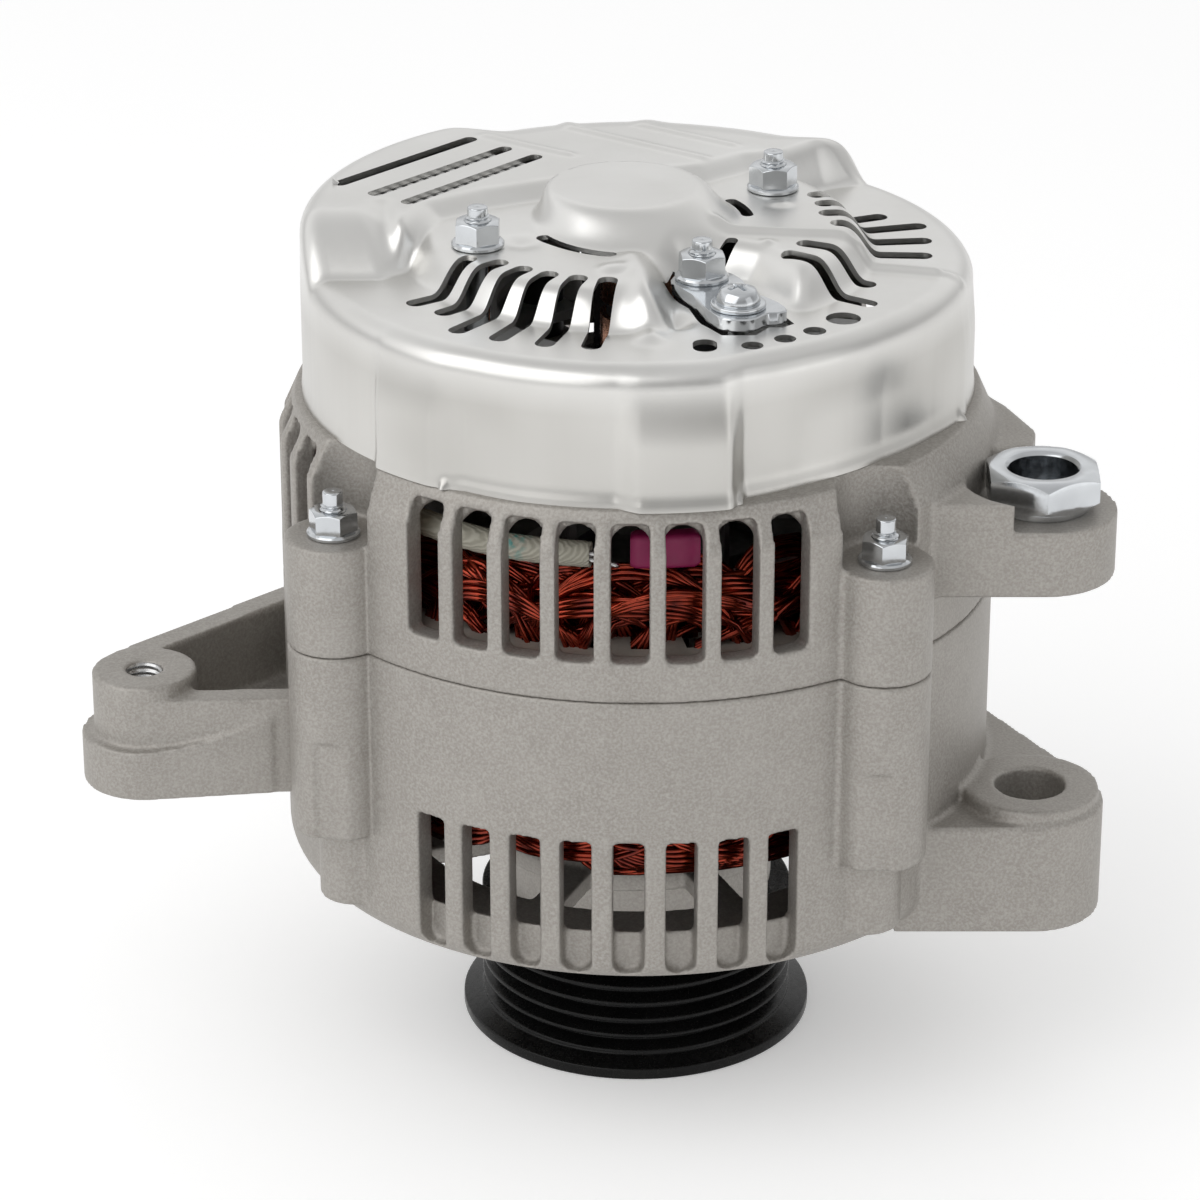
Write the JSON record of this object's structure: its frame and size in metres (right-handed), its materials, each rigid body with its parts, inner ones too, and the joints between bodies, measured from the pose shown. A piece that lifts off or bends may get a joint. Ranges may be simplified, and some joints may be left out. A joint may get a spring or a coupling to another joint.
{
  "type": "vehicle alternator",
  "caption": "Vehicle alternator with a grooved belt pulley, vented cast housings, mounting ears and a pressed rear cover.",
  "frame": {"origin": "centre of the pulley's flat front face, on the shaft axis", "axes": "+Z along the shaft from the pulley to the rear cover, +X towards the pivot ears, -Y towards the camera of the picture"},
  "size_m": [0.1965, 0.1426, 0.1741],
  "materials": {
    "cast_aluminium": "bead blasted die casting",
    "pressed_aluminium": "satin pressed sheet",
    "zinc_steel": "bright zinc plate",
    "bearing_steel": "ground steel",
    "lamination_steel": "stacked electrical steel",
    "enamelled_copper": "enamelled winding wire",
    "slip_copper": "turned copper",
    "glass_sleeve": "varnished glass braid",
    "magenta_plastic": "moulded nylon",
    "black_plastic": "moulded plastic",
    "seal_rubber": "moulded rubber",
    "sink_aluminium": "plain aluminium sheet",
    "forged_steel": "forged and machined iron",
    "fan_steel": "stamped steel sheet",
    "black_paint": "gloss black",
    "carbon": "pressed graphite"
  },
  "bodies": {
    "frame": {"front_housing": "cast_aluminium", "rear_housing": "cast_aluminium", "rear_cover": "pressed_aluminium", "cover_studs": "zinc_steel", "cover_nuts": "zinc_steel", "slider_bush": "zinc_steel", "through_bolts": "zinc_steel", "through_bolt_nuts": "zinc_steel", "stator_core": "lamination_steel", "stator_winding": "enamelled_copper", "lead_sleeve": "glass_sleeve", "lead_clip": "magenta_plastic", "front_bearing_outer_race": "bearing_steel", "front_bearing_seals": "seal_rubber", "rear_bearing_outer_race": "bearing_steel", "rear_bearing_seals": "seal_rubber", "bearing_retainer": "zinc_steel", "retainer_screws": "zinc_steel", "rectifier_lower_plate": "sink_aluminium", "rectifier_fin_plate": "sink_aluminium", "rectifier_diodes": "bearing_steel", "rectifier_spacers": "black_plastic", "brush_holder": "black_plastic", "brush_spring_1": "bearing_steel", "brush_spring_2": "bearing_steel", "regulator": "black_plastic", "plug_socket": "black_plastic", "terminal_plate": "zinc_steel", "terminal_washer": "zinc_steel", "terminal_screw": "zinc_steel"},
    "rotor": {"rotor_shaft": "bearing_steel", "pulley": "black_paint", "pulley_nut": "zinc_steel", "front_collar": "bearing_steel", "front_bearing_inner_race": "bearing_steel", "rear_bearing_inner_race": "bearing_steel", "front_claw_pole": "forged_steel", "rear_claw_pole": "forged_steel", "field_coil": "enamelled_copper", "coil_bobbin": "black_plastic", "front_fan": "fan_steel", "rear_fan": "fan_steel", "slip_rings": "slip_copper", "slip_ring_sleeve": "black_plastic"},
    "brush_a": {"brush_1": "carbon"},
    "brush_b": {"brush_2": "carbon"}
  },
  "joints": [
    {"name": "rotor_spin", "type": "hinge", "parent": "frame", "child": "rotor", "pos_m": [0, 0, 0.08], "axis": [0, 0, 1], "continuous": true},
    {"name": "brush_1_slide", "type": "slide", "parent": "frame", "child": "brush_a", "axis": [0, 1, 0], "range_m": [0, 0.004], "stiffness_N_per_m": 120, "springref_m": -0.006, "deforming": ["brush_spring_1"]},
    {"name": "brush_2_slide", "type": "slide", "parent": "frame", "child": "brush_b", "axis": [0, 1, 0], "range_m": [0, 0.004], "stiffness_N_per_m": 120, "springref_m": -0.006, "deforming": ["brush_spring_2"]}
  ]
}
